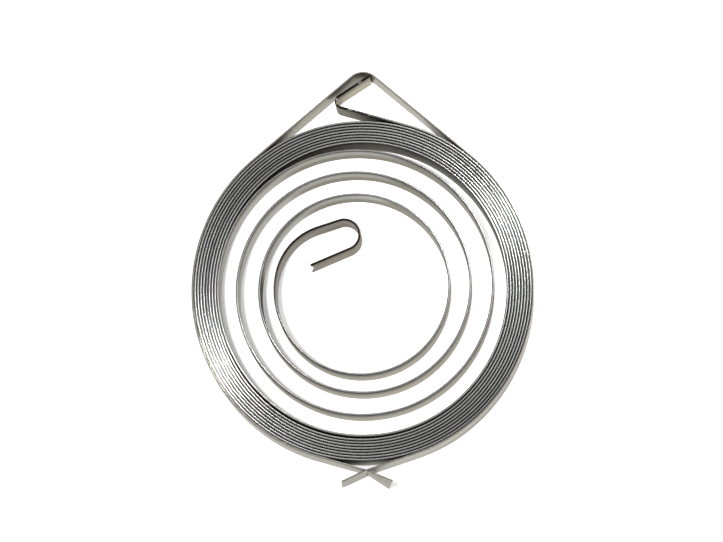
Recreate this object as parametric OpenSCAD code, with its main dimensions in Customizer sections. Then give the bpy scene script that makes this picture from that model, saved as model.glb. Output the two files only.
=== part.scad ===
// Flat spiral spring for a pull-cord starter, held wound by a looped steel band.
// The coil axis is Z through the origin, and both strips stand on edge on the plane z = 0.
// Angles round the coil are clockwise from +Y, the way the strip runs from its outer to its inner hook.

/* [Strip] */
// Width of the spring strip, which is the height of the coil
strip_width = 10; // [5:0.5:14]
// Thickness of the spring strip
strip_thick = 0.52; // [0.3:0.02:0.8]

/* [Coil] */
// Radius of the wound coil over its outer face
coil_radius = 38.3; // [32:0.1:48]
// Radius of the innermost turn, measured to the middle of the strip
hub_radius = 18.75; // [14:0.05:22]
// Turns that lie packed against each other
packed_turns = 8.25; // [5:0.05:10]
// Turns that stand loose inside the pack
loose_turns = 3.53; // [3:0.01:4.5]
// Gap between packed turns
turn_gap = 0.12; // [0.08:0.01:0.3]
// Extra radius of the pack toward the band's bend, and missing radius across it
pack_oval = 0.35; // [0:0.05:0.6]
// Turns over which the strip peels away from the pack
peel_turns = 0.9; // [0.6:0.1:1.4]
// Turns before the inner end at which the coil starts to close up again
closing_turns = 0.85; // [0.6:0.05:1]
// Pitch of the closing turn as a share of the loose pitch
closing_share = 0.48; // [0.3:0.02:1]
// Sideways offset of the loose turns from the coil axis
loose_shift_x = -0.6; // [-1:0.05:1]
// Offset of the loose turns from the coil axis toward the band's bend
loose_shift_y = 0.4; // [-1:0.05:1]

/* [Outer hook] */
// Angle at which the strip leaves the coil for the outer hook
hook_angle = 15; // [10:1:22]
// Straight length from the coil to the hook's bend
hook_lead = 15.3; // [12:0.1:18]
// Bend radius of the outer hook, to the middle of the strip
hook_bend_radius = 1.4; // [1.1:0.1:1.8]
// Angle through which the outer hook is bent
hook_bend_turn = 131; // [120:1:136]
// Straight length of the outer hook's arm
hook_arm = 8.2; // [6:0.1:10]

/* [Inner hook] */
// How much tighter the strip curls on its way into the inner hook than the innermost turn
entry_tighten = 5.2; // [3:0.1:7]
// Angle of that curl
entry_turn = 60; // [52:1:66]
// Straight length before the inner hook's bend
entry_lead = 5.2; // [3:0.1:6]
// Bend radius of the inner hook, to the middle of the strip
inner_bend_radius = 3.4; // [2.5:0.1:4.5]
// Angle through which the inner hook is bent
inner_bend_turn = 175; // [165:1:182]
// Straight length of the inner hook's arm
inner_arm = 9.6; // [6:0.1:11]

/* [Retaining band] */
// Thickness of the band
band_thick = 0.4; // [0.25:0.05:0.6]
// Gap between the band and the spring it holds
band_clear = 0.1; // [0.06:0.01:0.2]
// Distance of the band's corner to the left of the outer hook's tip
apex_left = 1.4; // [1:0.1:1.8]
// Distance of the band's corner above the outer hook's tip
apex_above = 2.1; // [1.8:0.1:2.6]
// Bend radius of that corner, to the middle of the band
apex_bend_radius = 4; // [3:0.1:4.4]
// How far the crossing of the band's ends lies outside the coil
lock_drop = 1.8; // [1.4:0.1:3]
// Sideways place of that crossing
lock_side = 1; // [-2:0.1:2]
// Length of the end that points to the left beyond the crossing
left_end = 6; // [4:0.1:9]
// Length of the end that points to the right beyond the crossing
right_end = 6.3; // [4:0.1:9]
// Angle by which both ends are bent away from the coil
end_splay = 6; // [0:1:12]
// Clearance round each strip in the other's slot
slot_clear = 0.15; // [0.1:0.01:0.3]

/* [Cut ends] */
// Depth of the hollow cut in each free end
notch_depth = 0.6; // [0.2:0.05:1]

/* [Hidden] */

full_turn = 360;
steps_per_turn = 96;
step_angle = full_turn / steps_per_turn;
bend_step = 7.5;
search_steps = 40;
cut_over = 1;
slot_reach = 4;

total_turns = packed_turns + loose_turns;
pack_pitch = strip_thick + turn_gap;
start_radius = coil_radius - strip_thick / 2;
closing_start = total_turns - closing_turns;
closing_blend = closing_turns / 2;
loose_span = ramp(total_turns, packed_turns, peel_turns);
closing_span = ramp(total_turns, closing_start, closing_blend);
loose_drop = start_radius - hub_radius - pack_pitch * (total_turns - loose_span);
loose_pitch = loose_drop / (loose_span - (1 - closing_share) * closing_span);

// Distance from the middle of the spring strip to the middle of the band round it
band_offset = strip_thick / 2 + band_clear + band_thick / 2;

// Part of a soft change that is done, from 0 to 1
function eased(x) =
    let (u = max(0, min(1, x)))
    u * u * (3 - 2 * u);

// How far the strip has come away from the pack, from 0 in it to 1 in the loose turns
function loosened(turn) = eased((turn - packed_turns) / peel_turns);

// Turns run since a start at which something comes in softly over a blend
function ramp(turn, start, blend) =
    let (u = (turn - start) / blend)
    u <= 0 ? 0 : u >= 1 ? blend * (u - 0.5) : blend * (u * u * u - u * u * u * u / 2);

// Radius of the strip's middle line after a number of turns from the outside
function turn_radius(turn) =
    start_radius
    - pack_pitch * turn
    - (loose_pitch - pack_pitch) * ramp(turn, packed_turns, peel_turns)
    + (1 - closing_share) * loose_pitch * ramp(turn, closing_start, closing_blend)
    + (1 - loosened(turn)) * pack_oval * cos(2 * full_turn * turn);

function polar(radius, angle) = radius * [sin(angle), cos(angle)];

function coil_point(turn) =
    loosened(turn) * [loose_shift_x, loose_shift_y]
    + polar(turn_radius(turn), full_turn * turn);

function heading_of(v) = atan2(v[1], v[0]);
function ahead(point, heading, distance) = point + distance * [cos(heading), sin(heading)];

// Heading of the coil's middle line, in the direction of winding
function coil_heading(turn) =
    let (d = 1 / (steps_per_turn * steps_per_turn))
    heading_of(coil_point(turn + d) - coil_point(turn - d));

// Points of a bend to the right or left that starts at a point with a heading
function right_bend(point, heading, radius, turn) =
    let (centre = ahead(point, heading - 90, radius), n = ceil(turn / bend_step))
    [for (i = [1:n]) ahead(centre, heading + 90 - turn * i / n, radius)];
function left_bend(point, heading, radius, turn) =
    let (centre = ahead(point, heading + 90, radius), n = 2 * ceil(turn / bend_step / 2))
    [for (i = [0:n]) ahead(centre, heading - 90 + turn * i / n, radius)];

function last(list) = list[len(list) - 1];
function reversed(list) = [for (i = [len(list) - 1:-1:0]) list[i]];

// The spring's middle line: outer hook, coil and inner hook

first_turn = hook_angle / full_turn;
coil_start = coil_point(first_turn);
lead_heading = coil_heading(first_turn) + 180;
hook_bend_start = ahead(coil_start, lead_heading, hook_lead);
hook_bend = right_bend(hook_bend_start, lead_heading, hook_bend_radius, hook_bend_turn);
hook_heading = lead_heading - hook_bend_turn;
hook_tip = ahead(last(hook_bend), hook_heading, hook_arm);

coil_steps = ceil((total_turns - first_turn) * steps_per_turn);
coil_line = [
    for (i = [0:coil_steps]) coil_point(first_turn + (total_turns - first_turn) * i / coil_steps)
];

entry_heading = coil_heading(total_turns);
entry_bend = right_bend(last(coil_line), entry_heading, hub_radius - entry_tighten, entry_turn);
inner_heading = entry_heading - entry_turn;
inner_bend_start = ahead(last(entry_bend), inner_heading, entry_lead);
inner_bend = right_bend(inner_bend_start, inner_heading, inner_bend_radius, inner_bend_turn);
arm_heading = inner_heading - inner_bend_turn;
inner_tip = ahead(last(inner_bend), arm_heading, inner_arm);

spring_line = concat(
    [hook_tip], reversed(hook_bend), [hook_bend_start],
    coil_line,
    entry_bend, [inner_bend_start], inner_bend, [inner_tip]
);

// The band's middle line: left end, crossing, right side, corner, left side, crossing, right end

function band_point(angle) = polar(turn_radius(angle / full_turn) + band_offset, angle);
function band_heading(angle) =
    heading_of(band_point(angle + step_angle / 10) - band_point(angle - step_angle / 10));

// Side of the band's run on which a target lies, positive on its left
function target_side(target, angle) =
    let (h = band_heading(angle), v = target - band_point(angle))
    cos(h) * v[1] - sin(h) * v[0];

// Angle at which the band leaves the coil straight toward a target
function leave_angle(target, left, right, n = search_steps) =
    let (middle = (left + right) / 2)
    n == 0 ? middle
    : target_side(target, middle) > 0 ? leave_angle(target, middle, right, n - 1)
    : leave_angle(target, left, middle, n - 1);

apex = hook_tip + [-apex_left, apex_above];
lock = [lock_side, -norm(band_point(180)) - lock_drop];

right_top = leave_angle(apex, 0, 90);
right_bottom = leave_angle(lock, 180, 90);
left_bottom = leave_angle(lock, 180, 270);
left_top = leave_angle(apex, 360, 270);

// Middle line along the coil from one angle to another, either way round
function wrap(from, to) =
    let (n = ceil(abs(to - from) / step_angle))
    [for (i = [0:n]) band_point(from + (to - from) * i / n)];

rise_heading = heading_of(apex - band_point(right_top));
fall_heading = heading_of(band_point(left_top) - apex);
apex_turn = (fall_heading - rise_heading + full_turn) % full_turn;
apex_start = ahead(apex, rise_heading, -apex_bend_radius * tan(apex_turn / 2));
apex_bend = left_bend(apex_start, rise_heading, apex_bend_radius, apex_turn);

to_left_heading = heading_of(lock - band_point(right_bottom));
to_right_heading = heading_of(lock - band_point(left_bottom));
left_heading = to_left_heading + end_splay;
right_heading = to_right_heading - end_splay;
left_tip = ahead(lock, left_heading, left_end);
right_tip = ahead(lock, right_heading, right_end);

right_run = concat([left_tip, lock], wrap(right_bottom, right_top));
left_run = concat(wrap(left_top, left_bottom), [lock, right_tip]);
band_line = concat(right_run, apex_bend, left_run);
apex_middle = len(right_run) + (len(apex_bend) - 1) / 2;

// Middle line moved sideways by a distance, positive to its left
function beside(line, distance) = [
    for (i = [0:len(line) - 1])
        let (
            before = heading_of(line[max(i, 1)] - line[max(i, 1) - 1]),
            j = min(i, len(line) - 2),
            after = heading_of(line[j + 1] - line[j]),
            half_bend = ((after - before + 540) % full_turn - 180) / 2
        )
        ahead(line[i], before + half_bend + 90, distance / cos(half_bend))
];

// Strip on edge along points first to last of a middle line
module strip(line, thick, first, last) {
    left = beside(line, thick / 2);
    right = beside(line, -thick / 2);
    linear_extrude(height = strip_width)
        polygon(concat(
            [for (i = [first:last]) left[i]],
            [for (i = [last:-1:first]) right[i]]
        ));
}

// Round cutter that leaves a hollow of the notch depth across a strip's end
module end_hollow(tip, heading) {
    half = strip_width / 2;
    radius = (half * half + notch_depth * notch_depth) / (2 * notch_depth);
    cut_length = notch_depth + cut_over;
    translate([tip[0], tip[1], half])
        rotate([0, 0, heading])
            intersection() {
                translate([radius - notch_depth, 0, 0])
                    rotate([90, 0, 0])
                        cylinder(h = 2 * cut_over, r = radius, center = true, $fn = 96);
                translate([-cut_length / 2, 0, 0])
                    cube([2 * cut_length, 3 * cut_over, 2 * strip_width], center = true);
            }
}

// Cutter for the slot in one half of the band that the other half passes through
module lock_slot(heading, bottom, top) {
    slot_width = band_thick + 2 * slot_clear;
    translate([lock[0], lock[1], bottom])
        rotate([0, 0, heading])
            translate([-slot_reach, -slot_width / 2, 0])
                cube([2 * slot_reach, slot_width, top - bottom]);
}

module spring() {
    color("silver")
        difference() {
            strip(spring_line, strip_thick, 0, len(spring_line) - 1);
            end_hollow(inner_tip, arm_heading);
        }
}

// Half of the band that comes down the right side and ends on the left, slotted from below
module right_half() {
    difference() {
        strip(band_line, band_thick, 0, apex_middle);
        lock_slot(to_right_heading - end_splay / 2, -cut_over, (strip_width + slot_clear) / 2);
        end_hollow(left_tip, left_heading);
    }
}

// Half of the band that comes down the left side and ends on the right, slotted from above
module left_half() {
    difference() {
        strip(band_line, band_thick, apex_middle, len(band_line) - 1);
        lock_slot(to_left_heading + end_splay / 2, (strip_width - slot_clear) / 2, strip_width + cut_over);
        end_hollow(right_tip, right_heading);
    }
}

module retaining_band() {
    color("darkgray")
        union() {
            right_half();
            left_half();
        }
}

spring();
retaining_band();
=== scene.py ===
# %% [markdown]
# # A recoil starter spring in its retaining band
# The object is two flat steel strips that stand on edge: a long one wound into a spiral, and a thin one
# looped round it to hold it wound. The solids of both are already in the frame. In this lesson each strip
# gets its own edges and its steel finish, and then a floor, some light and a camera.

import math

import bmesh
import bpy
from mathutils import Matrix, Vector


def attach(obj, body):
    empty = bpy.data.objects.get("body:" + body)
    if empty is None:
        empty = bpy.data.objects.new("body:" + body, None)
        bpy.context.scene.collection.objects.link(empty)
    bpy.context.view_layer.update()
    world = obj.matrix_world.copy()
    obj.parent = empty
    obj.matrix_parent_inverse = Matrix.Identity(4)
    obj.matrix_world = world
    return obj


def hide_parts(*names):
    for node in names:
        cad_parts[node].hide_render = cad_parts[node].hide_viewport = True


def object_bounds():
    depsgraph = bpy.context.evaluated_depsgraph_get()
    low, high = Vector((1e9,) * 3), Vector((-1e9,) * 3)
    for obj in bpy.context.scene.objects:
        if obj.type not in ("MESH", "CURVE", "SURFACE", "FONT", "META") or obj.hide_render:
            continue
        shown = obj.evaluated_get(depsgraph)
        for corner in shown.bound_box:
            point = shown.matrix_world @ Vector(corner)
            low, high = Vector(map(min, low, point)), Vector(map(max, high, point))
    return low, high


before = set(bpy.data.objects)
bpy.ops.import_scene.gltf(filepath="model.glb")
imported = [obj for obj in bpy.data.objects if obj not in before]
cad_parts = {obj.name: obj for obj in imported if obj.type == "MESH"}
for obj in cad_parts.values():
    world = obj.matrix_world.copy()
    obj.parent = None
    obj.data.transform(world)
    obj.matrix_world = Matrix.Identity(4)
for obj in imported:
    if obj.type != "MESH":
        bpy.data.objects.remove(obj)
cad_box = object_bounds()
MM = 0.001
print("solids:", sorted(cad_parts), "box in mm:", [[round(c / MM, 2) for c in p] for p in cad_box])

# %% [markdown]
# ## Reading a strip's middle line
# A strip on edge is a long prism, so the flat face on its top or bottom has the whole route in its outline.
# The outline could be drawn again from sizes, but reading it from the solid keeps the new mesh exactly where
# the solid is. From the square end of a strip, the outline runs along both faces at once, and halfway
# between each pair of points lies the middle line.

# %% Outline of the flat face at a height
SAME_PLACE = 1e-6


def outline_at(node, height):
    """Points round the longest flat face that the solid has at that height, in order."""
    bm = bmesh.new()
    bm.from_mesh(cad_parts[node].data)
    bmesh.ops.remove_doubles(bm, verts=bm.verts, dist=SAME_PLACE)
    flat = {f for f in bm.faces if all(abs(v.co.z - height) < SAME_PLACE for v in f.verts)}
    after = {}
    for face in flat:
        for corner in face.loops:
            if sum(f in flat for f in corner.edge.link_faces) == 1:
                after[corner.vert] = corner.link_loop_next.vert
    outlines = []
    while after:
        first = next(iter(after))
        outline = [first]
        vert = after.pop(first)
        while vert is not first:
            outline.append(vert)
            vert = after.pop(vert)
        outlines.append([Vector(v.co.xy) for v in outline])
    bm.free()
    print(node, "has an outline of", max(len(o) for o in outlines), "points at", round(height / MM, 2), "mm")
    return max(outlines, key=len)


# %% Middle line from the square end
SQUARE = math.radians(80)
STILL_STRAIGHT = math.radians(0.1)


def turn_at(points, i):
    """Angle by which a closed outline turns at one of its points."""
    before = points[i] - points[i - 1]
    ahead = points[(i + 1) % len(points)] - points[i]
    return abs(before.angle_signed(ahead))


def middle_line(outline):
    """Middle points of the strip, from its outermost square end to the other end."""
    corners = [p for i, p in enumerate(outline) if turn_at(outline, i) > STILL_STRAIGHT]
    n = len(corners)
    ends = [i for i in range(n) if min(turn_at(corners, i), turn_at(corners, (i + 1) % n)) > SQUARE]
    start = max(ends, key=lambda i: corners[i].length)
    return [(corners[start - i] + corners[(start + 1 + i) % n]) / 2 for i in range(n // 2)]


# %% [markdown]
# ## From chords back to arcs
# The solid's bends are many short chords, which would show as flats in a bright strip. Every chord shorter
# than a few millimetres stands for an arc, so it is bent back through a curve that leaves each point in the
# mean direction of its two chords. Longer stretches are real straights and stay as they are.

# %% Bend the short chords
STRAIGHT_FROM = 3.5 * MM
CHORD_PARTS = 2


def direction_at(points, i):
    """Unit direction of the route at a point, which is a straight's own where one meets it."""
    chords = [points[j + 1] - points[j] for j in (i - 1, i) if 0 <= j < len(points) - 1]
    straights = [c for c in chords if c.length > STRAIGHT_FROM]
    return sum((c.normalized() for c in straights or chords), Vector((0, 0))).normalized()


def bent(points):
    """The same route with each short chord replaced by parts of its arc, as (point, direction) pairs."""
    route = []
    for i in range(len(points) - 1):
        a, b = points[i], points[i + 1]
        da, db = direction_at(points, i), direction_at(points, i + 1)
        reach = (b - a).length
        route.append((a, da))
        if reach > STRAIGHT_FROM:
            continue
        for k in range(1, CHORD_PARTS):
            u = k / CHORD_PARTS
            w = 1 - u
            point = (w * w * (1 + 2 * u)) * a + (u * u * (1 + 2 * w)) * b
            point += reach * (u * w * w * da - u * u * w * db)
            route.append((point, (w * da + u * db).normalized()))
    route.append((points[-1], direction_at(points, len(points) - 1)))
    return route


def length_of(route):
    """Length of a route, in metres."""
    return sum((b[0] - a[0]).length for a, b in zip(route, route[1:]))


# %% Route of the spring
base, top = cad_box[0].z, cad_box[1].z
strip_width = top - base
spring_route = bent(middle_line(outline_at("spring", top)))
print("spring route:", len(spring_route), "points,", round(length_of(spring_route), 3), "m")

# %% [markdown]
# ## The band's route, from two halves
# The band's ends cross in slots, and a slot cuts the flat face in two. The right end is slotted from above
# and the left end from below, so the top face has the route from the left end and the bottom face has it from
# the right end. The two are joined at the corner that stands over the spring's outer hook.

# %% Route of the band
from_left_end = middle_line(outline_at("retaining_band", top))
from_right_end = middle_line(outline_at("retaining_band", base))
corner_left = max(range(len(from_left_end)), key=lambda i: from_left_end[i].y)
corner_right = max(range(len(from_right_end)), key=lambda i: from_right_end[i].y)
band_points = from_left_end[:corner_left + 1] + from_right_end[:corner_right][::-1]
band_route = bent(band_points)
print("band route:", len(band_route), "points,", round(length_of(band_route) / MM, 1), "mm")
print("its ends cross at", [round(c / MM, 2) for c in band_points[1]], "mm")

# %% [markdown]
# ## A strip with its own edges
# Spring strip is rolled flat and its edges are dressed round, so that they don't crack when it is wound.
# Those round edges catch the light as one fine line for each turn, and they make the look of the whole coil.
# A bevel modifier could round the solid, but a section swept along the route gives even edges and a clean
# grid of faces, on which a map of length and girth can be laid for the finish.

# %% Section of a strip
EDGE_STEPS = 4


def section_of(thick, edge_round, levels):
    """(across, up) points round a strip's section: up the left face, over the top and down the right."""
    half, r = thick / 2, edge_round
    quarter = [math.radians(90 * i / EDGE_STEPS) for i in range(EDGE_STEPS + 1)]
    left = [(-half + r - r * math.sin(a), r - r * math.cos(a)) for a in quarter]
    left += [(-half, z) for z in levels]
    left += [(-half + r - r * math.cos(a), strip_width - r + r * math.sin(a)) for a in quarter]
    return left + [(-x, z) for x, z in reversed(left)]


def girth_of(section):
    """Distances round the section at each point, and back at the first."""
    closed = section + section[:1]
    steps = [math.dist(a, b) for a, b in zip(closed, closed[1:])]
    return [sum(steps[:i]) for i in range(len(closed))]


# %% Rings along a route
class Ring:
    """One section of a strip: where it stands, which way it runs and how far along it is.

    Four trims move its points. Skew takes them along the strip by how far across they are, hollow does so
    most at half height, and slant does so most at the bottom. Lean takes them sideways, most at the bottom.
    """

    def __init__(self, point, heading, along):
        self.point, self.heading, self.along = point, heading, along
        self.skew = 0.0
        self.hollow = 0.0
        self.slant = 0.0
        self.lean = 0.0

    def place(self, across, up):
        """Where a point of the section is in space, with the ring's trims."""
        h = self.heading
        rise = 2 * up / strip_width - 1
        low = 1 - up / strip_width
        shift = across * self.skew + self.hollow * (1 - rise * rise) + self.slant * low
        spot = self.point + (across + self.lean * low) * Vector((-h.y, h.x)) + shift * h
        return Vector((spot.x, spot.y, base + up))


def rings_of(route):
    """A plain ring at each point of the route."""
    along = 0.0
    rings = [Ring(*route[0], along)]
    for (a, _), (b, heading) in zip(route, route[1:]):
        along += (b - a).length
        rings.append(Ring(b, heading, along))
    return rings


# %% [markdown]
# ## Sweeping the section
# Each pair of rings is joined by a band of quads. Blender's curve bevel could sweep a section too, but it
# can't leave part of it out, and the half-lap needs that. Two maps are laid as the faces are made: one in
# metres of length and girth, for the finish, and one that cuts the strip into rows that fill a square, for
# baking.

# %% Object from finished faces
SHARP_FROM = math.radians(35)


def piece_of(name, bm):
    """Object of the faces, which are shaded smooth but for their sharp edges."""
    bmesh.ops.recalc_face_normals(bm, faces=bm.faces)
    mesh = bpy.data.meshes.new(name)
    bm.to_mesh(mesh)
    bm.free()
    mesh.set_sharp_from_angle(angle=SHARP_FROM)
    piece = bpy.data.objects.new(name, mesh)
    bpy.context.scene.collection.objects.link(piece)
    print(name, "has", sum(len(p.vertices) - 2 for p in mesh.polygons), "triangles")
    return piece


# %% Sweep the section along the rings
STRIP_MAP = "strip"
BAKE_MAP = "OFBake"
ROW_MARGIN = 0.02
ROW_PART = 1 - 2 * ROW_MARGIN


def sweep(name, rings, section, slots=()):
    """Mesh object of the section along the rings; a slot is (first ring, last ring, points round the cut)."""
    n = len(section)
    girth = girth_of(section)
    length = rings[-1].along
    rows = max(1, round(math.sqrt(length / girth[-1])))
    bm = bmesh.new()
    strip_uv = bm.loops.layers.uv.new(STRIP_MAP)
    bake_uv = bm.loops.layers.uv.new(BAKE_MAP)
    verts = [[bm.verts.new(ring.place(*p)) for p in section] for ring in rings]

    def face(corners):
        made = bm.faces.new([verts[i][j % n] for i, j in corners])
        made.smooth = True
        middle = sum(rings[i].along for i, j in corners) / len(corners)
        row = min(rows - 1, int(middle / length * rows))
        for loop, (i, j) in zip(made.loops, corners):
            loop[strip_uv].uv = (rings[i].along, girth[j])
            u = rings[i].along / length * rows - row
            v = row + ROW_MARGIN + ROW_PART * girth[j] / girth[-1]
            loop[bake_uv].uv = (ROW_MARGIN + ROW_PART * u, v / rows)

    for i in range(len(rings) - 1):
        cut = next((c for first, last, c in slots if first <= i < last), [])
        gone = set(cut[:-1])
        for j in range(n):
            if j not in gone:
                face([(i, j), (i, j + 1), (i + 1, j + 1), (i + 1, j)])
        if cut:
            face([(i, cut[0]), (i, cut[-1]), (i + 1, cut[-1]), (i + 1, cut[0])])
    for end in (0, len(rings) - 1):
        for j in range(n // 2 - 1):
            face([(end, j), (end, j + 1), (end, n - 2 - j), (end, n - 1 - j)])
    for first, last, cut in slots:
        face([(first, j) for j in cut])
        face([(last, j) for j in reversed(cut)])
    print(name, "is", round(length / MM, 1), "mm long and fills", rows, "rows of the bake map")
    return piece_of(name, bm)


# %% [markdown]
# ## The spring
# The strip's ends were sheared with a worn blade that left a shallow hollow, which shows at the inner tip.
# The last ring is drawn back in the middle of its height to make it, so the section has a few levels on its
# faces.

# %% Sweep the spring
SPRING_THICK = 0.52 * MM
SPRING_ROUND = 0.2 * MM
NOTCH_DEPTH = 0.6 * MM
FACE_PARTS = 8
face_levels = [strip_width * k / FACE_PARTS for k in range(1, FACE_PARTS)]

spring_rings = rings_of(spring_route)
spring_rings[-1].hollow = -NOTCH_DEPTH
spring = sweep("wound_spring", spring_rings, section_of(SPRING_THICK, SPRING_ROUND, face_levels))
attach(spring, "root")
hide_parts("spring")

# %% [markdown]
# ## The band and its half-lap
# Below the coil the band's two ends cross, and each has a slot to the middle of its width that the other
# drops into. A slot is left out of the sweep: between two rings that are skewed to the other end's
# direction, only half of the section goes on, and the slot's floor and walls close what is left open. The
# band was only sheared to width, so its edges are nearly square. Its tips were snipped by hand: both are cut
# aslant, and the right one also leans.

# %% Put the slots into the band's rings
BAND_THICK = 0.4 * MM
BAND_ROUND = 0.06 * MM
SLOT_CLEAR = 0.15 * MM


def with_slot(rings, near, other):
    """The rings with the one at the crossing replaced by two that stand in the slot's walls."""
    ring = rings[near]
    across = ring.heading.cross(other)
    half = (BAND_THICK / 2 + SLOT_CLEAR) / abs(across)
    walls = []
    for side in (-half, half):
        wall = Ring(ring.point + side * ring.heading, ring.heading, ring.along + side)
        wall.skew = ring.heading.dot(other) / across
        walls.append(wall)
    return rings[:near] + walls + rings[near + 1:]


plain_rings = rings_of(band_route)
to_left, to_right = plain_rings[1].heading, plain_rings[-2].heading
band_rings = with_slot(plain_rings, len(plain_rings) - 2, to_left)
band_rings = with_slot(band_rings, 1, to_right)
print("slots", round((SLOT_CLEAR * 2 + BAND_THICK) / MM, 2), "mm wide, ends cross at",
      round(math.degrees(abs(to_left.angle_signed(-to_right))), 1), "degrees")

# %% Snip the tips
LEFT_SLANT = -0.4 * MM
RIGHT_SLANT = -0.75 * MM
RIGHT_LEAN = -1.0 * MM

band_rings[0].slant = LEFT_SLANT
band_rings[-1].slant = RIGHT_SLANT
band_rings[-1].lean = RIGHT_LEAN
print("tips cut", round(-LEFT_SLANT / MM, 2), "and", round(-RIGHT_SLANT / MM, 2), "mm aslant")

# %% Sweep the band
slot_roof = (strip_width + SLOT_CLEAR) / 2
slot_floor = (strip_width - SLOT_CLEAR) / 2
band_section = section_of(BAND_THICK, BAND_ROUND, sorted(face_levels + [slot_roof, slot_floor]))
count = len(band_section)


def left_point_at(height):
    """Number of the point on the left face of the band's section that lies at that height."""
    return min(range(count // 2), key=lambda i: abs(band_section[i][1] - height))


roof = left_point_at(slot_roof)
floor = left_point_at(slot_floor)
cut_below = list(range(count - 1 - roof, count)) + list(range(roof + 1))
cut_above = list(range(floor, count - floor))
last = len(band_rings) - 1
band = sweep("looped_band", band_rings, band_section, [(1, 2, cut_below), (last - 2, last - 1, cut_above)])
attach(band, "root")
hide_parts("retaining_band")

# %% [markdown]
# ## Helpers for nodes
# A finish is a web of small nodes. Placing and linking each by hand takes several lines, so a few helpers do
# it: one for any node, one for arithmetic, one for a soft step and one for a mix of two colours.

# %% Place a node and feed its sockets
def feed(tree, socket, value):
    """Link the socket to another node's output, or set it to a plain value."""
    if isinstance(value, bpy.types.NodeSocket):
        tree.links.new(value, socket)
    else:
        socket.default_value = value


def add(tree, kind, **inputs):
    """A node in the tree with its sockets fed by name, or by number as i0, i1 and so on."""
    made = tree.nodes.new(kind)
    for name, value in inputs.items():
        by_number = name[1:].isdigit()
        feed(tree, made.inputs[int(name[1:]) if by_number else name.replace("_", " ")], value)
    return made


def calc(tree, operation, a, b=0.0):
    """Result of a sum with one or two values."""
    made = add(tree, "ShaderNodeMath", i0=a, i1=b)
    made.operation = operation
    return made.outputs[0]


def vectors(tree, operation, a, b=(0, 0, 0)):
    """Outputs of a sum with one or two vectors."""
    made = add(tree, "ShaderNodeVectorMath", i0=a, i1=b)
    made.operation = operation
    return made.outputs


# %% Soft steps and mixed colours
MIX_SHARE, MIX_A, MIX_B, MIX_RESULT = 0, 6, 7, 2


def ramp(tree, value, low, high):
    """0 at low and 1 at high, with a soft change between them."""
    made = add(tree, "ShaderNodeMapRange", Value=value, From_Min=low, From_Max=high)
    made.interpolation_type = "SMOOTHSTEP"
    return made.outputs["Result"]


def blend(tree, share, a, b):
    """Colour a where the share is 0 and b where it is 1; the Mix node has sockets of its own for colours."""
    made = tree.nodes.new("ShaderNodeMix")
    made.data_type = "RGBA"
    feed(tree, made.inputs[MIX_SHARE], share)
    feed(tree, made.inputs[MIX_A], a)
    feed(tree, made.inputs[MIX_B], b)
    return made.outputs[MIX_RESULT]


# %% [markdown]
# ## Effects that both steels share
# Cold-rolled strip carries fine lines along its length, a thin straw-coloured film that is uneven from one
# place to the next, and a few dark specks, and its edges are another grey than its faces. Each effect is a
# node group that gives a mask, so that both steels can use it with their own values. The first three read
# the map of length and girth, in metres, because on a spiral no other coordinate runs along the strip. The
# edges are found from how far the surface turns up or down.

# %% An empty group
def new_group(name, values, result):
    """An empty group with a Vector input, named values and one result."""
    tree = bpy.data.node_groups.new(name, "ShaderNodeTree")
    tree.interface.new_socket("Vector", in_out="INPUT", socket_type="NodeSocketVector")
    for value in values:
        tree.interface.new_socket(value, in_out="INPUT", socket_type="NodeSocketFloat")
    tree.interface.new_socket(result, in_out="OUTPUT", socket_type="NodeSocketFloat")
    inlet = tree.nodes.new("NodeGroupInput")
    outlet = tree.nodes.new("NodeGroupOutput")
    return tree, inlet.outputs, outlet.inputs[result]


def stretched(tree, vector, length, width):
    """The strip's map in units of a mark's length and width."""
    per_length = calc(tree, "DIVIDE", 1.0, length)
    per_width = calc(tree, "DIVIDE", 1.0, width)
    scale = add(tree, "ShaderNodeCombineXYZ", X=per_length, Y=per_width)
    return vectors(tree, "MULTIPLY", vector, scale.outputs[0])[0]


# %% Rolled lines and film
rolled_lines, given, result = new_group("rolled_lines", ["Length", "Width"], "Lines")
spots = stretched(rolled_lines, given["Vector"], given["Length"], given["Width"])
noise = add(rolled_lines, "ShaderNodeTexNoise", Vector=spots, Scale=1.0, Detail=3.0, Roughness=0.6)
rolled_lines.links.new(noise.outputs["Fac"], result)

film, given, result = new_group("film", ["Length", "Width", "Low", "High"], "Film")
spots = stretched(film, given["Vector"], given["Length"], given["Width"])
noise = add(film, "ShaderNodeTexNoise", Vector=spots, Scale=1.0, Detail=4.0, Roughness=0.55)
film.links.new(ramp(film, noise.outputs["Fac"], given["Low"], given["High"]), result)
print("groups:", rolled_lines.name, film.name)

# %% Specks and edges
specks, given, result = new_group("specks", ["Spacing", "Size", "Share"], "Specks")
spots = stretched(specks, given["Vector"], given["Spacing"], given["Spacing"])
cells = add(specks, "ShaderNodeTexVoronoi", Vector=spots, Scale=1.0)
near = ramp(specks, cells.outputs["Distance"], given["Size"], 0.0)
chosen = add(specks, "ShaderNodeSeparateColor", Color=cells.outputs["Color"])
kept = calc(specks, "LESS_THAN", chosen.outputs[0], given["Share"])
specks.links.new(calc(specks, "MULTIPLY", near, kept), result)

edges, given, result = new_group("edges", ["Low", "High"], "Edge")
normal = add(edges, "ShaderNodeSeparateXYZ", Vector=given["Vector"])
turned = calc(edges, "ABSOLUTE", normal.outputs["Z"])
edges.links.new(ramp(edges, turned, given["Low"], given["High"]), result)
print("groups:", specks.name, edges.name)

# %% [markdown]
# ## Putting a finish on a strip
# A new material gets its shader from Blender, and the groups are placed in it with this strip's values. Both
# steels are metal all over, and what they mirror at a grazing angle is a good deal darker than white, because
# the film is there too. Those two values are the same everywhere, so they are set on the shader itself.

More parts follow.
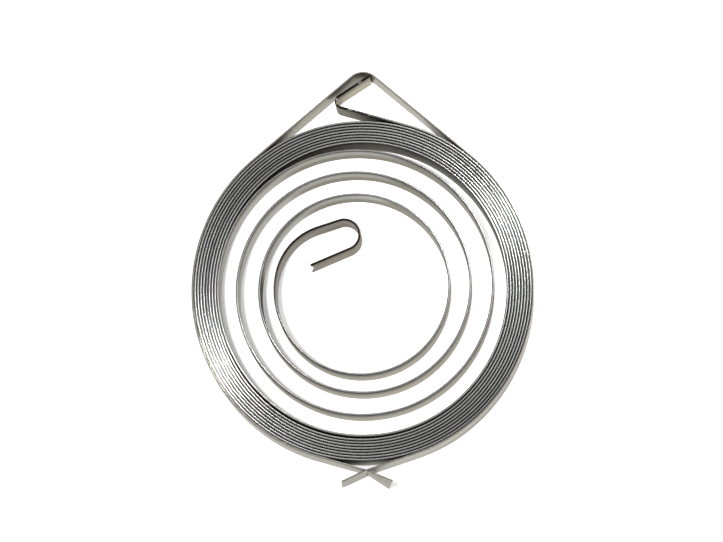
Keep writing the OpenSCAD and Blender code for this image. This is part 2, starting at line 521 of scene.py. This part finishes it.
# %% A material and its effects
def paint(piece, name, grazed):
    """A new metal on the piece: its node tree, its shader and its map of length and girth."""
    material = bpy.data.materials.new(name)
    material.use_nodes = True
    piece.data.materials.clear()
    piece.data.materials.append(material)
    tree = material.node_tree
    steel = tree.nodes["Principled BSDF"]
    steel.inputs["Metallic"].default_value = 1.0
    steel.inputs["Specular Tint"].default_value = grazed
    on_strip = tree.nodes.new("ShaderNodeUVMap")
    on_strip.uv_map = STRIP_MAP
    return tree, steel, on_strip.outputs[0]


def effect(tree, group, vector, **values):
    """Result of a group in this material, with its own values."""
    made = tree.nodes.new("ShaderNodeGroup")
    made.node_tree = group
    tree.links.new(vector, made.inputs["Vector"])
    for name, value in values.items():
        made.inputs[name].default_value = value
    return made.outputs[0]


# %% Roughness and bump from the rolled lines
LINES_LOW = 0.3
LINES_HIGH = 0.7


def rough_from(tree, lines, low, high):
    """Roughness that goes from low to high with the rolled lines."""
    made = add(tree, "ShaderNodeMapRange", Value=lines, From_Min=LINES_LOW, From_Max=LINES_HIGH,
               To_Min=low, To_Max=high)
    return made.outputs[0]


def bump_from(tree, height, strength, depth):
    """Normal that is tilted by a height."""
    return add(tree, "ShaderNodeBump", Strength=strength, Distance=depth, Height=height).outputs[0]


# %% [markdown]
# ## Places on the spring
# The spring's finish changes from place to place, so the first nodes say where a point is: how far along the
# strip, on the inner or the outer face, how high, and in the pack or on a loose turn. A picture painted on
# the strip could hold all that, but masks worked out from the map and the plan stay sharp and need no file.

# %% Along, inside, height and pack
GRAZED = (0.55, 0.54, 0.50, 1)
PACK_FROM = 31.5 * MM
PACK_FULL = 33.5 * MM

tree, steel, on_strip = paint(spring, "spring_steel", GRAZED)
coords = tree.nodes.new("ShaderNodeTexCoord").outputs
place = add(tree, "ShaderNodeSeparateXYZ", Vector=on_strip).outputs
along, round_it = place["X"], place["Y"]
inner_side = calc(tree, "LESS_THAN", round_it, strip_width + SPRING_THICK / 2)
plan = add(tree, "ShaderNodeSeparateXYZ", Vector=coords["Object"]).outputs
height = plan["Z"]
flat = add(tree, "ShaderNodeCombineXYZ", X=plan["X"], Y=plan["Y"]).outputs[0]
packed = ramp(tree, vectors(tree, "LENGTH", flat)["Value"], PACK_FROM, PACK_FULL)
spring_length = spring_rings[-1].along
print("places along", round(spring_length, 3), "m of strip, packed beyond", PACK_FULL / MM, "mm")


# %% A side of the coil
def side_share(bearing, low, high):
    """1 on the side of the coil at that bearing, clockwise from +Y in degrees, and 0 on the other side."""
    a = math.radians(bearing)
    outward = vectors(tree, "NORMALIZE", flat)[0]
    facing = vectors(tree, "DOT_PRODUCT", outward, (math.sin(a), math.cos(a), 0))["Value"]
    return ramp(tree, facing, low, high)


# %% [markdown]
# ## The spring's faces
# The outer faces are bright steel under patches of straw film. The inner faces are darker, but on one side
# of the coil painted light makes them lighter, and at the far side a painted reflection makes a light stripe
# under the upper edge. Toward the upper edge all faces get darker with painted shade.

# %% Colour of the faces
FACE_STEEL = (0.50, 0.48, 0.42, 1)
FILM_STEEL = (0.44, 0.40, 0.32, 1)
INNER_FACE = (0.22, 0.20, 0.165, 1)
PAINTED_LIGHT_FACE = (0.52, 0.52, 0.505, 1)
TOP_SHADE = (0.16, 0.15, 0.13, 1)
TOP_SHADE_FROM = 0.5 * strip_width
TOP_SHADE_FULL = 0.95 * strip_width
STRIPE_FROM = 0.4 * strip_width
STRIPE_FULL = 0.65 * strip_width

patches = effect(tree, film, on_strip, Length=30 * MM, Width=6 * MM, Low=0.35, High=0.65)
outer_face = blend(tree, patches, FACE_STEEL, FILM_STEEL)
# Painted light: the inner faces on this side of the coil are lighter.
lit_side = side_share(bearing=300, low=0.3, high=0.85)
inner_face = blend(tree, lit_side, INNER_FACE, PAINTED_LIGHT_FACE)
face_colour = blend(tree, inner_side, outer_face, inner_face)
# Painted shade: all faces darken toward their upper edge.
face_colour = blend(tree, ramp(tree, height, TOP_SHADE_FROM, TOP_SHADE_FULL), face_colour, TOP_SHADE)
# Painted reflection: at the far side the inner faces are lighter under their upper edge.
reflection_stripe = blend(tree, ramp(tree, height, STRIPE_FROM, STRIPE_FULL), INNER_FACE, PAINTED_LIGHT_FACE)
far_side = calc(tree, "MULTIPLY", side_share(bearing=350, low=0.85, high=0.97), inner_side)
face_colour = blend(tree, far_side, face_colour, reflection_stripe)
print("faces:", len(tree.nodes), "nodes so far")

# %% [markdown]
# ## The spring's edges
# Winding burnishes the crests of the imported edges, and the grooves between them get painted shade, so each
# turn of the pack is a light line between two dark ones. Long stretches are duller. On the loose turns the
# edges are a plain grey.

# %% Colour of the edges
EDGE_STEEL = (0.45, 0.45, 0.44, 1)
BURNISHED = (0.86, 0.86, 0.845, 1)
DULLED = (0.55, 0.55, 0.54, 1)
GROOVE_SHADE = (0.10, 0.098, 0.09, 1)
WHOLE_EDGE = {"Low": 0.05, "High": 0.45}
CREST_ONLY = {"Low": 0.6, "High": 0.95}

edge = effect(tree, edges, coords["Normal"], **WHOLE_EDGE)
crest = effect(tree, edges, coords["Normal"], **CREST_ONLY)
worn = effect(tree, film, on_strip, Length=60 * MM, Width=100 * MM, Low=0.45, High=0.7)
# Painted shade: each packed edge is dark on its sides, below the crest.
packed_edge = blend(tree, crest, GROOVE_SHADE, blend(tree, worn, BURNISHED, DULLED))
edge_colour = blend(tree, packed, EDGE_STEEL, packed_edge)
print("edges:", len(tree.nodes), "nodes so far")

# %% [markdown]
# ## Heat and stain
# Both ends were heated soft before they were bent. That leaves brown faces and black, scaled edges, which
# fade out along the strip, and the outer hook's scale has chipped to bright flecks. One loose turn has a
# dark, dull stain on its inner face.

# %% Heated ends
HEATED = (0.12, 0.09, 0.065, 1)
SCALED = (0.045, 0.038, 0.033, 1)
OUTER_HEAT_REACH = 30 * MM
OUTER_HEAT_FULL = 12 * MM
INNER_HEAT_REACH = 70 * MM
INNER_HEAT_FULL = 30 * MM
BROWN_SHARE = 0.7

outer_heat = ramp(tree, along, OUTER_HEAT_REACH, OUTER_HEAT_FULL)
inner_heat = ramp(tree, along, spring_length - INNER_HEAT_REACH, spring_length - INNER_HEAT_FULL)
face_heat = calc(tree, "MAXIMUM", calc(tree, "MULTIPLY", outer_heat, inner_side), inner_heat)
face_colour = blend(tree, calc(tree, "MULTIPLY", face_heat, BROWN_SHARE), face_colour, HEATED)
edge_colour = blend(tree, calc(tree, "MAXIMUM", outer_heat, inner_heat), edge_colour, SCALED)
flecks = effect(tree, film, on_strip, Length=1.6 * MM, Width=100 * MM, Low=0.54, High=0.6)
edge_colour = blend(tree, calc(tree, "MULTIPLY", flecks, outer_heat), edge_colour, BURNISHED)
print("heat reaches", round(OUTER_HEAT_REACH / MM), "mm from the outer end and",
      round(INNER_HEAT_REACH / MM), "mm from the inner end")

# %% Stain
STAIN_AT = spring_length - 173 * MM
STAIN_REACH = 9 * MM
STAIN_FULL = 3 * MM

from_stain = calc(tree, "ABSOLUTE", calc(tree, "SUBTRACT", along, STAIN_AT))
stain = calc(tree, "MULTIPLY", ramp(tree, from_stain, STAIN_REACH, STAIN_FULL), inner_side)
face_colour = blend(tree, stain, face_colour, HEATED)
print("stain at", round(STAIN_AT, 3), "m along the strip")

# %% [markdown]
# ## The spring's steel put together
# The edge mask joins faces and edges, and a few specks go over both. The faces have a satin sheen that
# follows the rolled lines, which gives a wall its soft shade from top to bottom. The edges are smooth in the
# pack, where winding rubbed them, and duller on the loose turns, so that their gleam there is a long soft
# line. The stain is dull too. The lines are also a very low bump, on the faces only.

# %% Spring steel
SPECK = (0.05, 0.045, 0.04, 1)
SATIN_LOW = 0.28
SATIN_HIGH = 0.40
LOOSE_EDGE_ROUGH = 0.38
PACK_SMOOTHER = 0.13
STAIN_ROUGH = 0.25
LINES_MIDDLE = 0.5

dots = effect(tree, specks, on_strip, Spacing=12 * MM, Size=0.03, Share=0.06)
colour = blend(tree, edge, face_colour, edge_colour)
tree.links.new(blend(tree, dots, colour, SPECK), steel.inputs["Base Color"])

lines = effect(tree, rolled_lines, on_strip, Length=20 * MM, Width=0.18 * MM)
on_face = calc(tree, "SUBTRACT", 1.0, edge)
satin = calc(tree, "MULTIPLY", rough_from(tree, lines, SATIN_LOW, SATIN_HIGH), on_face)
edge_rough = calc(tree, "SUBTRACT", LOOSE_EDGE_ROUGH, calc(tree, "MULTIPLY", packed, PACK_SMOOTHER))
rough = calc(tree, "ADD", satin, calc(tree, "MULTIPLY", edge, edge_rough))
rough = calc(tree, "ADD", rough, calc(tree, "MULTIPLY", stain, STAIN_ROUGH))
tree.links.new(rough, steel.inputs["Roughness"])

face_lines = calc(tree, "MULTIPLY", calc(tree, "SUBTRACT", lines, LINES_MIDDLE), on_face)
tree.links.new(bump_from(tree, face_lines, strength=0.1, depth=0.01 * MM), steel.inputs["Normal"])
print("spring steel:", len(tree.nodes), "nodes")

# %% [markdown]
# ## The band's steel
# The band is softer strip that was neither wound nor heated. It is a plain grey with a little straw film and
# some specks, it is smoother than the spring, and its freshly sheared edges are lighter than its faces. It
# uses the spring's groups with its own values.

# %% Band steel
BAND_GRAZED = (0.54, 0.53, 0.49, 1)
BAND_FACE = (0.40, 0.39, 0.36, 1)
BAND_FILM = (0.30, 0.28, 0.235, 1)
BAND_EDGE = (0.80, 0.76, 0.70, 1)
BAND_ROUGH_LOW = 0.16
BAND_ROUGH_HIGH = 0.28

tree, steel, on_strip = paint(band, "band_steel", BAND_GRAZED)
coords = tree.nodes.new("ShaderNodeTexCoord").outputs
lines = effect(tree, rolled_lines, on_strip, Length=15 * MM, Width=0.15 * MM)
patches = effect(tree, film, on_strip, Length=20 * MM, Width=5 * MM, Low=0.35, High=0.65)
dots = effect(tree, specks, on_strip, Spacing=10 * MM, Size=0.03, Share=0.05)
edge = effect(tree, edges, coords["Normal"], **WHOLE_EDGE)
colour = blend(tree, edge, blend(tree, patches, BAND_FACE, BAND_FILM), BAND_EDGE)
tree.links.new(blend(tree, dots, colour, SPECK), steel.inputs["Base Color"])
tree.links.new(rough_from(tree, lines, BAND_ROUGH_LOW, BAND_ROUGH_HIGH), steel.inputs["Roughness"])
tree.links.new(bump_from(tree, lines, strength=0.15, depth=0.02 * MM), steel.inputs["Normal"])
print("band steel:", len(tree.nodes), "nodes")

# %% [markdown]
# ## The sheet it lies on
# The spring lies on a white sheet. A plain white floor would turn grey wherever the lamps don't reach, so
# this one also glows a little, but only to the camera and in mirrors: it lights nothing. The glow is weaker
# to the left, so that shadows show more there, and to the camera it is lifted on the right, where the sheet
# is brightest. It dies away in the narrow gaps between turns, where a real sheet is dark.

# %% White sheet
FLOOR_HALF = 4.0
FLOOR_GAP = 0.02 * MM

mesh = bpy.data.meshes.new("white_sheet")
corners = [(-1, -1), (1, -1), (1, 1), (-1, 1)]
points = [(FLOOR_HALF * x, FLOOR_HALF * y, base - FLOOR_GAP) for x, y in corners]
mesh.from_pydata(points, [], [(0, 1, 2, 3)])
sheet = bpy.data.objects.new("white_sheet", mesh)
bpy.context.scene.collection.objects.link(sheet)
print("sheet", 2 * FLOOR_HALF, "m wide")

# %% Strength of the glow
GLOW_LEFT = 0.32
GLOW_RIGHT = 0.75
GLOW_HALF = 35 * MM
GLOW_TURN = 0.3
LIFT = 0.3
LIFT_FROM = -20 * MM
LIFT_FULL = 15 * MM
GAP_DEPTH = 8 * MM
GAP_DARK = 0.05
GAP_OPEN = 0.12

material = bpy.data.materials.new("white_sheet")
material.use_nodes = True
sheet.data.materials.append(material)
tree = material.node_tree
tree.nodes.remove(tree.nodes["Principled BSDF"])
path = tree.nodes.new("ShaderNodeLightPath").outputs
seen = calc(tree, "MAXIMUM", path["Is Camera Ray"], path["Is Glossy Ray"])
seen = calc(tree, "MAXIMUM", seen, path["Is Transmission Ray"])
coords = tree.nodes.new("ShaderNodeTexCoord").outputs
spot = add(tree, "ShaderNodeSeparateXYZ", Vector=coords["Object"]).outputs
across = calc(tree, "ADD", spot["X"], calc(tree, "MULTIPLY", spot["Y"], GLOW_TURN))
level = add(tree, "ShaderNodeMapRange", Value=across, From_Min=-GLOW_HALF, From_Max=GLOW_HALF,
            To_Min=GLOW_LEFT, To_Max=GLOW_RIGHT)
lifted = calc(tree, "MULTIPLY", path["Is Camera Ray"], ramp(tree, across, LIFT_FROM, LIFT_FULL))
lifted = calc(tree, "MULTIPLY", lifted, LIFT)
lit = calc(tree, "ADD", calc(tree, "MULTIPLY", seen, level.outputs[0]), lifted)
openness = add(tree, "ShaderNodeAmbientOcclusion", Distance=GAP_DEPTH).outputs["AO"]
strength = calc(tree, "MULTIPLY", ramp(tree, openness, GAP_DARK, GAP_OPEN), lit)
print("glow from", GLOW_LEFT, "to", GLOW_RIGHT)

# %% Paper and glow
SHEET_WHITE = (0.9, 0.9, 0.9, 1)
GLOW_WHITE = (1, 1, 1, 1)

paper = add(tree, "ShaderNodeBsdfDiffuse", Color=SHEET_WHITE)
glow = add(tree, "ShaderNodeEmission", Color=GLOW_WHITE, Strength=strength)
both = add(tree, "ShaderNodeAddShader", i0=paper.outputs[0], i1=glow.outputs[0])
tree.links.new(both.outputs[0], tree.nodes["Material Output"].inputs["Surface"])
print("sheet:", len(tree.nodes), "nodes")

# %% [markdown]
# ## Light
# A plain grey room gives the steel something to mirror. A softbox from the far right lights two bright spots
# on opposite sides of the coil, where the round edges lean toward it and away from it. It is a small one for
# the white middle of each spot, in front of a big dim one for the broad sheen round it. The small one leaves
# the sheet alone. A small steep lamp from the near left throws the short shadows, and the steel doesn't
# mirror it.

# %% Room
ROOM_GREY = (0.20, 0.20, 0.20, 1)
world = bpy.data.worlds.new("plain_room")
bpy.context.scene.world = world
world.use_nodes = True
world.node_tree.nodes["Background"].inputs["Color"].default_value = ROOM_GREY
print("room grey", ROOM_GREY[0])


# %% Lamps
def softbox(name, bearing, height, distance, size, power):
    """A square lamp that faces the coil; the bearing is clockwise from +Y, in degrees."""
    a, e = math.radians(bearing), math.radians(height)
    lamp = bpy.data.lights.new(name, "AREA")
    lamp.shape = "SQUARE"
    lamp.size = size
    lamp.energy = power
    holder = bpy.data.objects.new(name, lamp)
    toward = Vector((math.sin(a) * math.cos(e), math.cos(a) * math.cos(e), math.sin(e)))
    holder.location = toward * distance
    holder.rotation_mode = "QUATERNION"
    holder.rotation_quaternion = toward.to_track_quat("Z", "Y")
    bpy.context.scene.collection.objects.link(holder)
    print(name, "lamp,", power, "W,", size, "m wide")
    return holder


key = softbox("key", bearing=48, height=56, distance=2.0, size=0.24, power=25)
key.visible_diffuse = False
softbox("window", bearing=48, height=56, distance=2.05, size=1.8, power=6)
fill = softbox("fill", bearing=235, height=82, distance=0.9, size=0.05, power=6)
fill.visible_glossy = False

# %% [markdown]
# ## Camera
# The photograph looks down on the coil, a little from the front right, from so far away that the turns look
# round. A long lens from over a metre gives that. The camera is rolled so that the band's corner points up.

# %% Camera
IMAGE_WIDTH = 723
PIXELS_PER_MM = 4.495
VIEW_BEARING = 14.0
VIEW_HEIGHT = 81.5
VIEW_DISTANCE = 1.2
FAR_CLIP = 20.0
AIM = Vector((-0.08 * MM, 4.12 * MM, top))

a, e = math.radians(VIEW_BEARING), math.radians(VIEW_HEIGHT)
back = Vector((math.sin(a) * math.cos(e), -math.cos(a) * math.cos(e), math.sin(e)))
right = Vector((0, 1, 0)).cross(back).normalized()
up = back.cross(right)
turned = Matrix((right, up, back)).transposed().to_4x4()
lens = bpy.data.cameras.new("camera")
lens.lens = lens.sensor_width * VIEW_DISTANCE * PIXELS_PER_MM / MM / IMAGE_WIDTH
lens.clip_end = FAR_CLIP
camera = bpy.data.objects.new("camera", lens)
camera.matrix_world = Matrix.Translation(AIM + VIEW_DISTANCE * back) @ turned
bpy.context.scene.collection.objects.link(camera)
bpy.context.scene.camera = camera
bpy.context.scene.view_settings.view_transform = "Standard"
print("lens", round(lens.lens, 1), "mm")
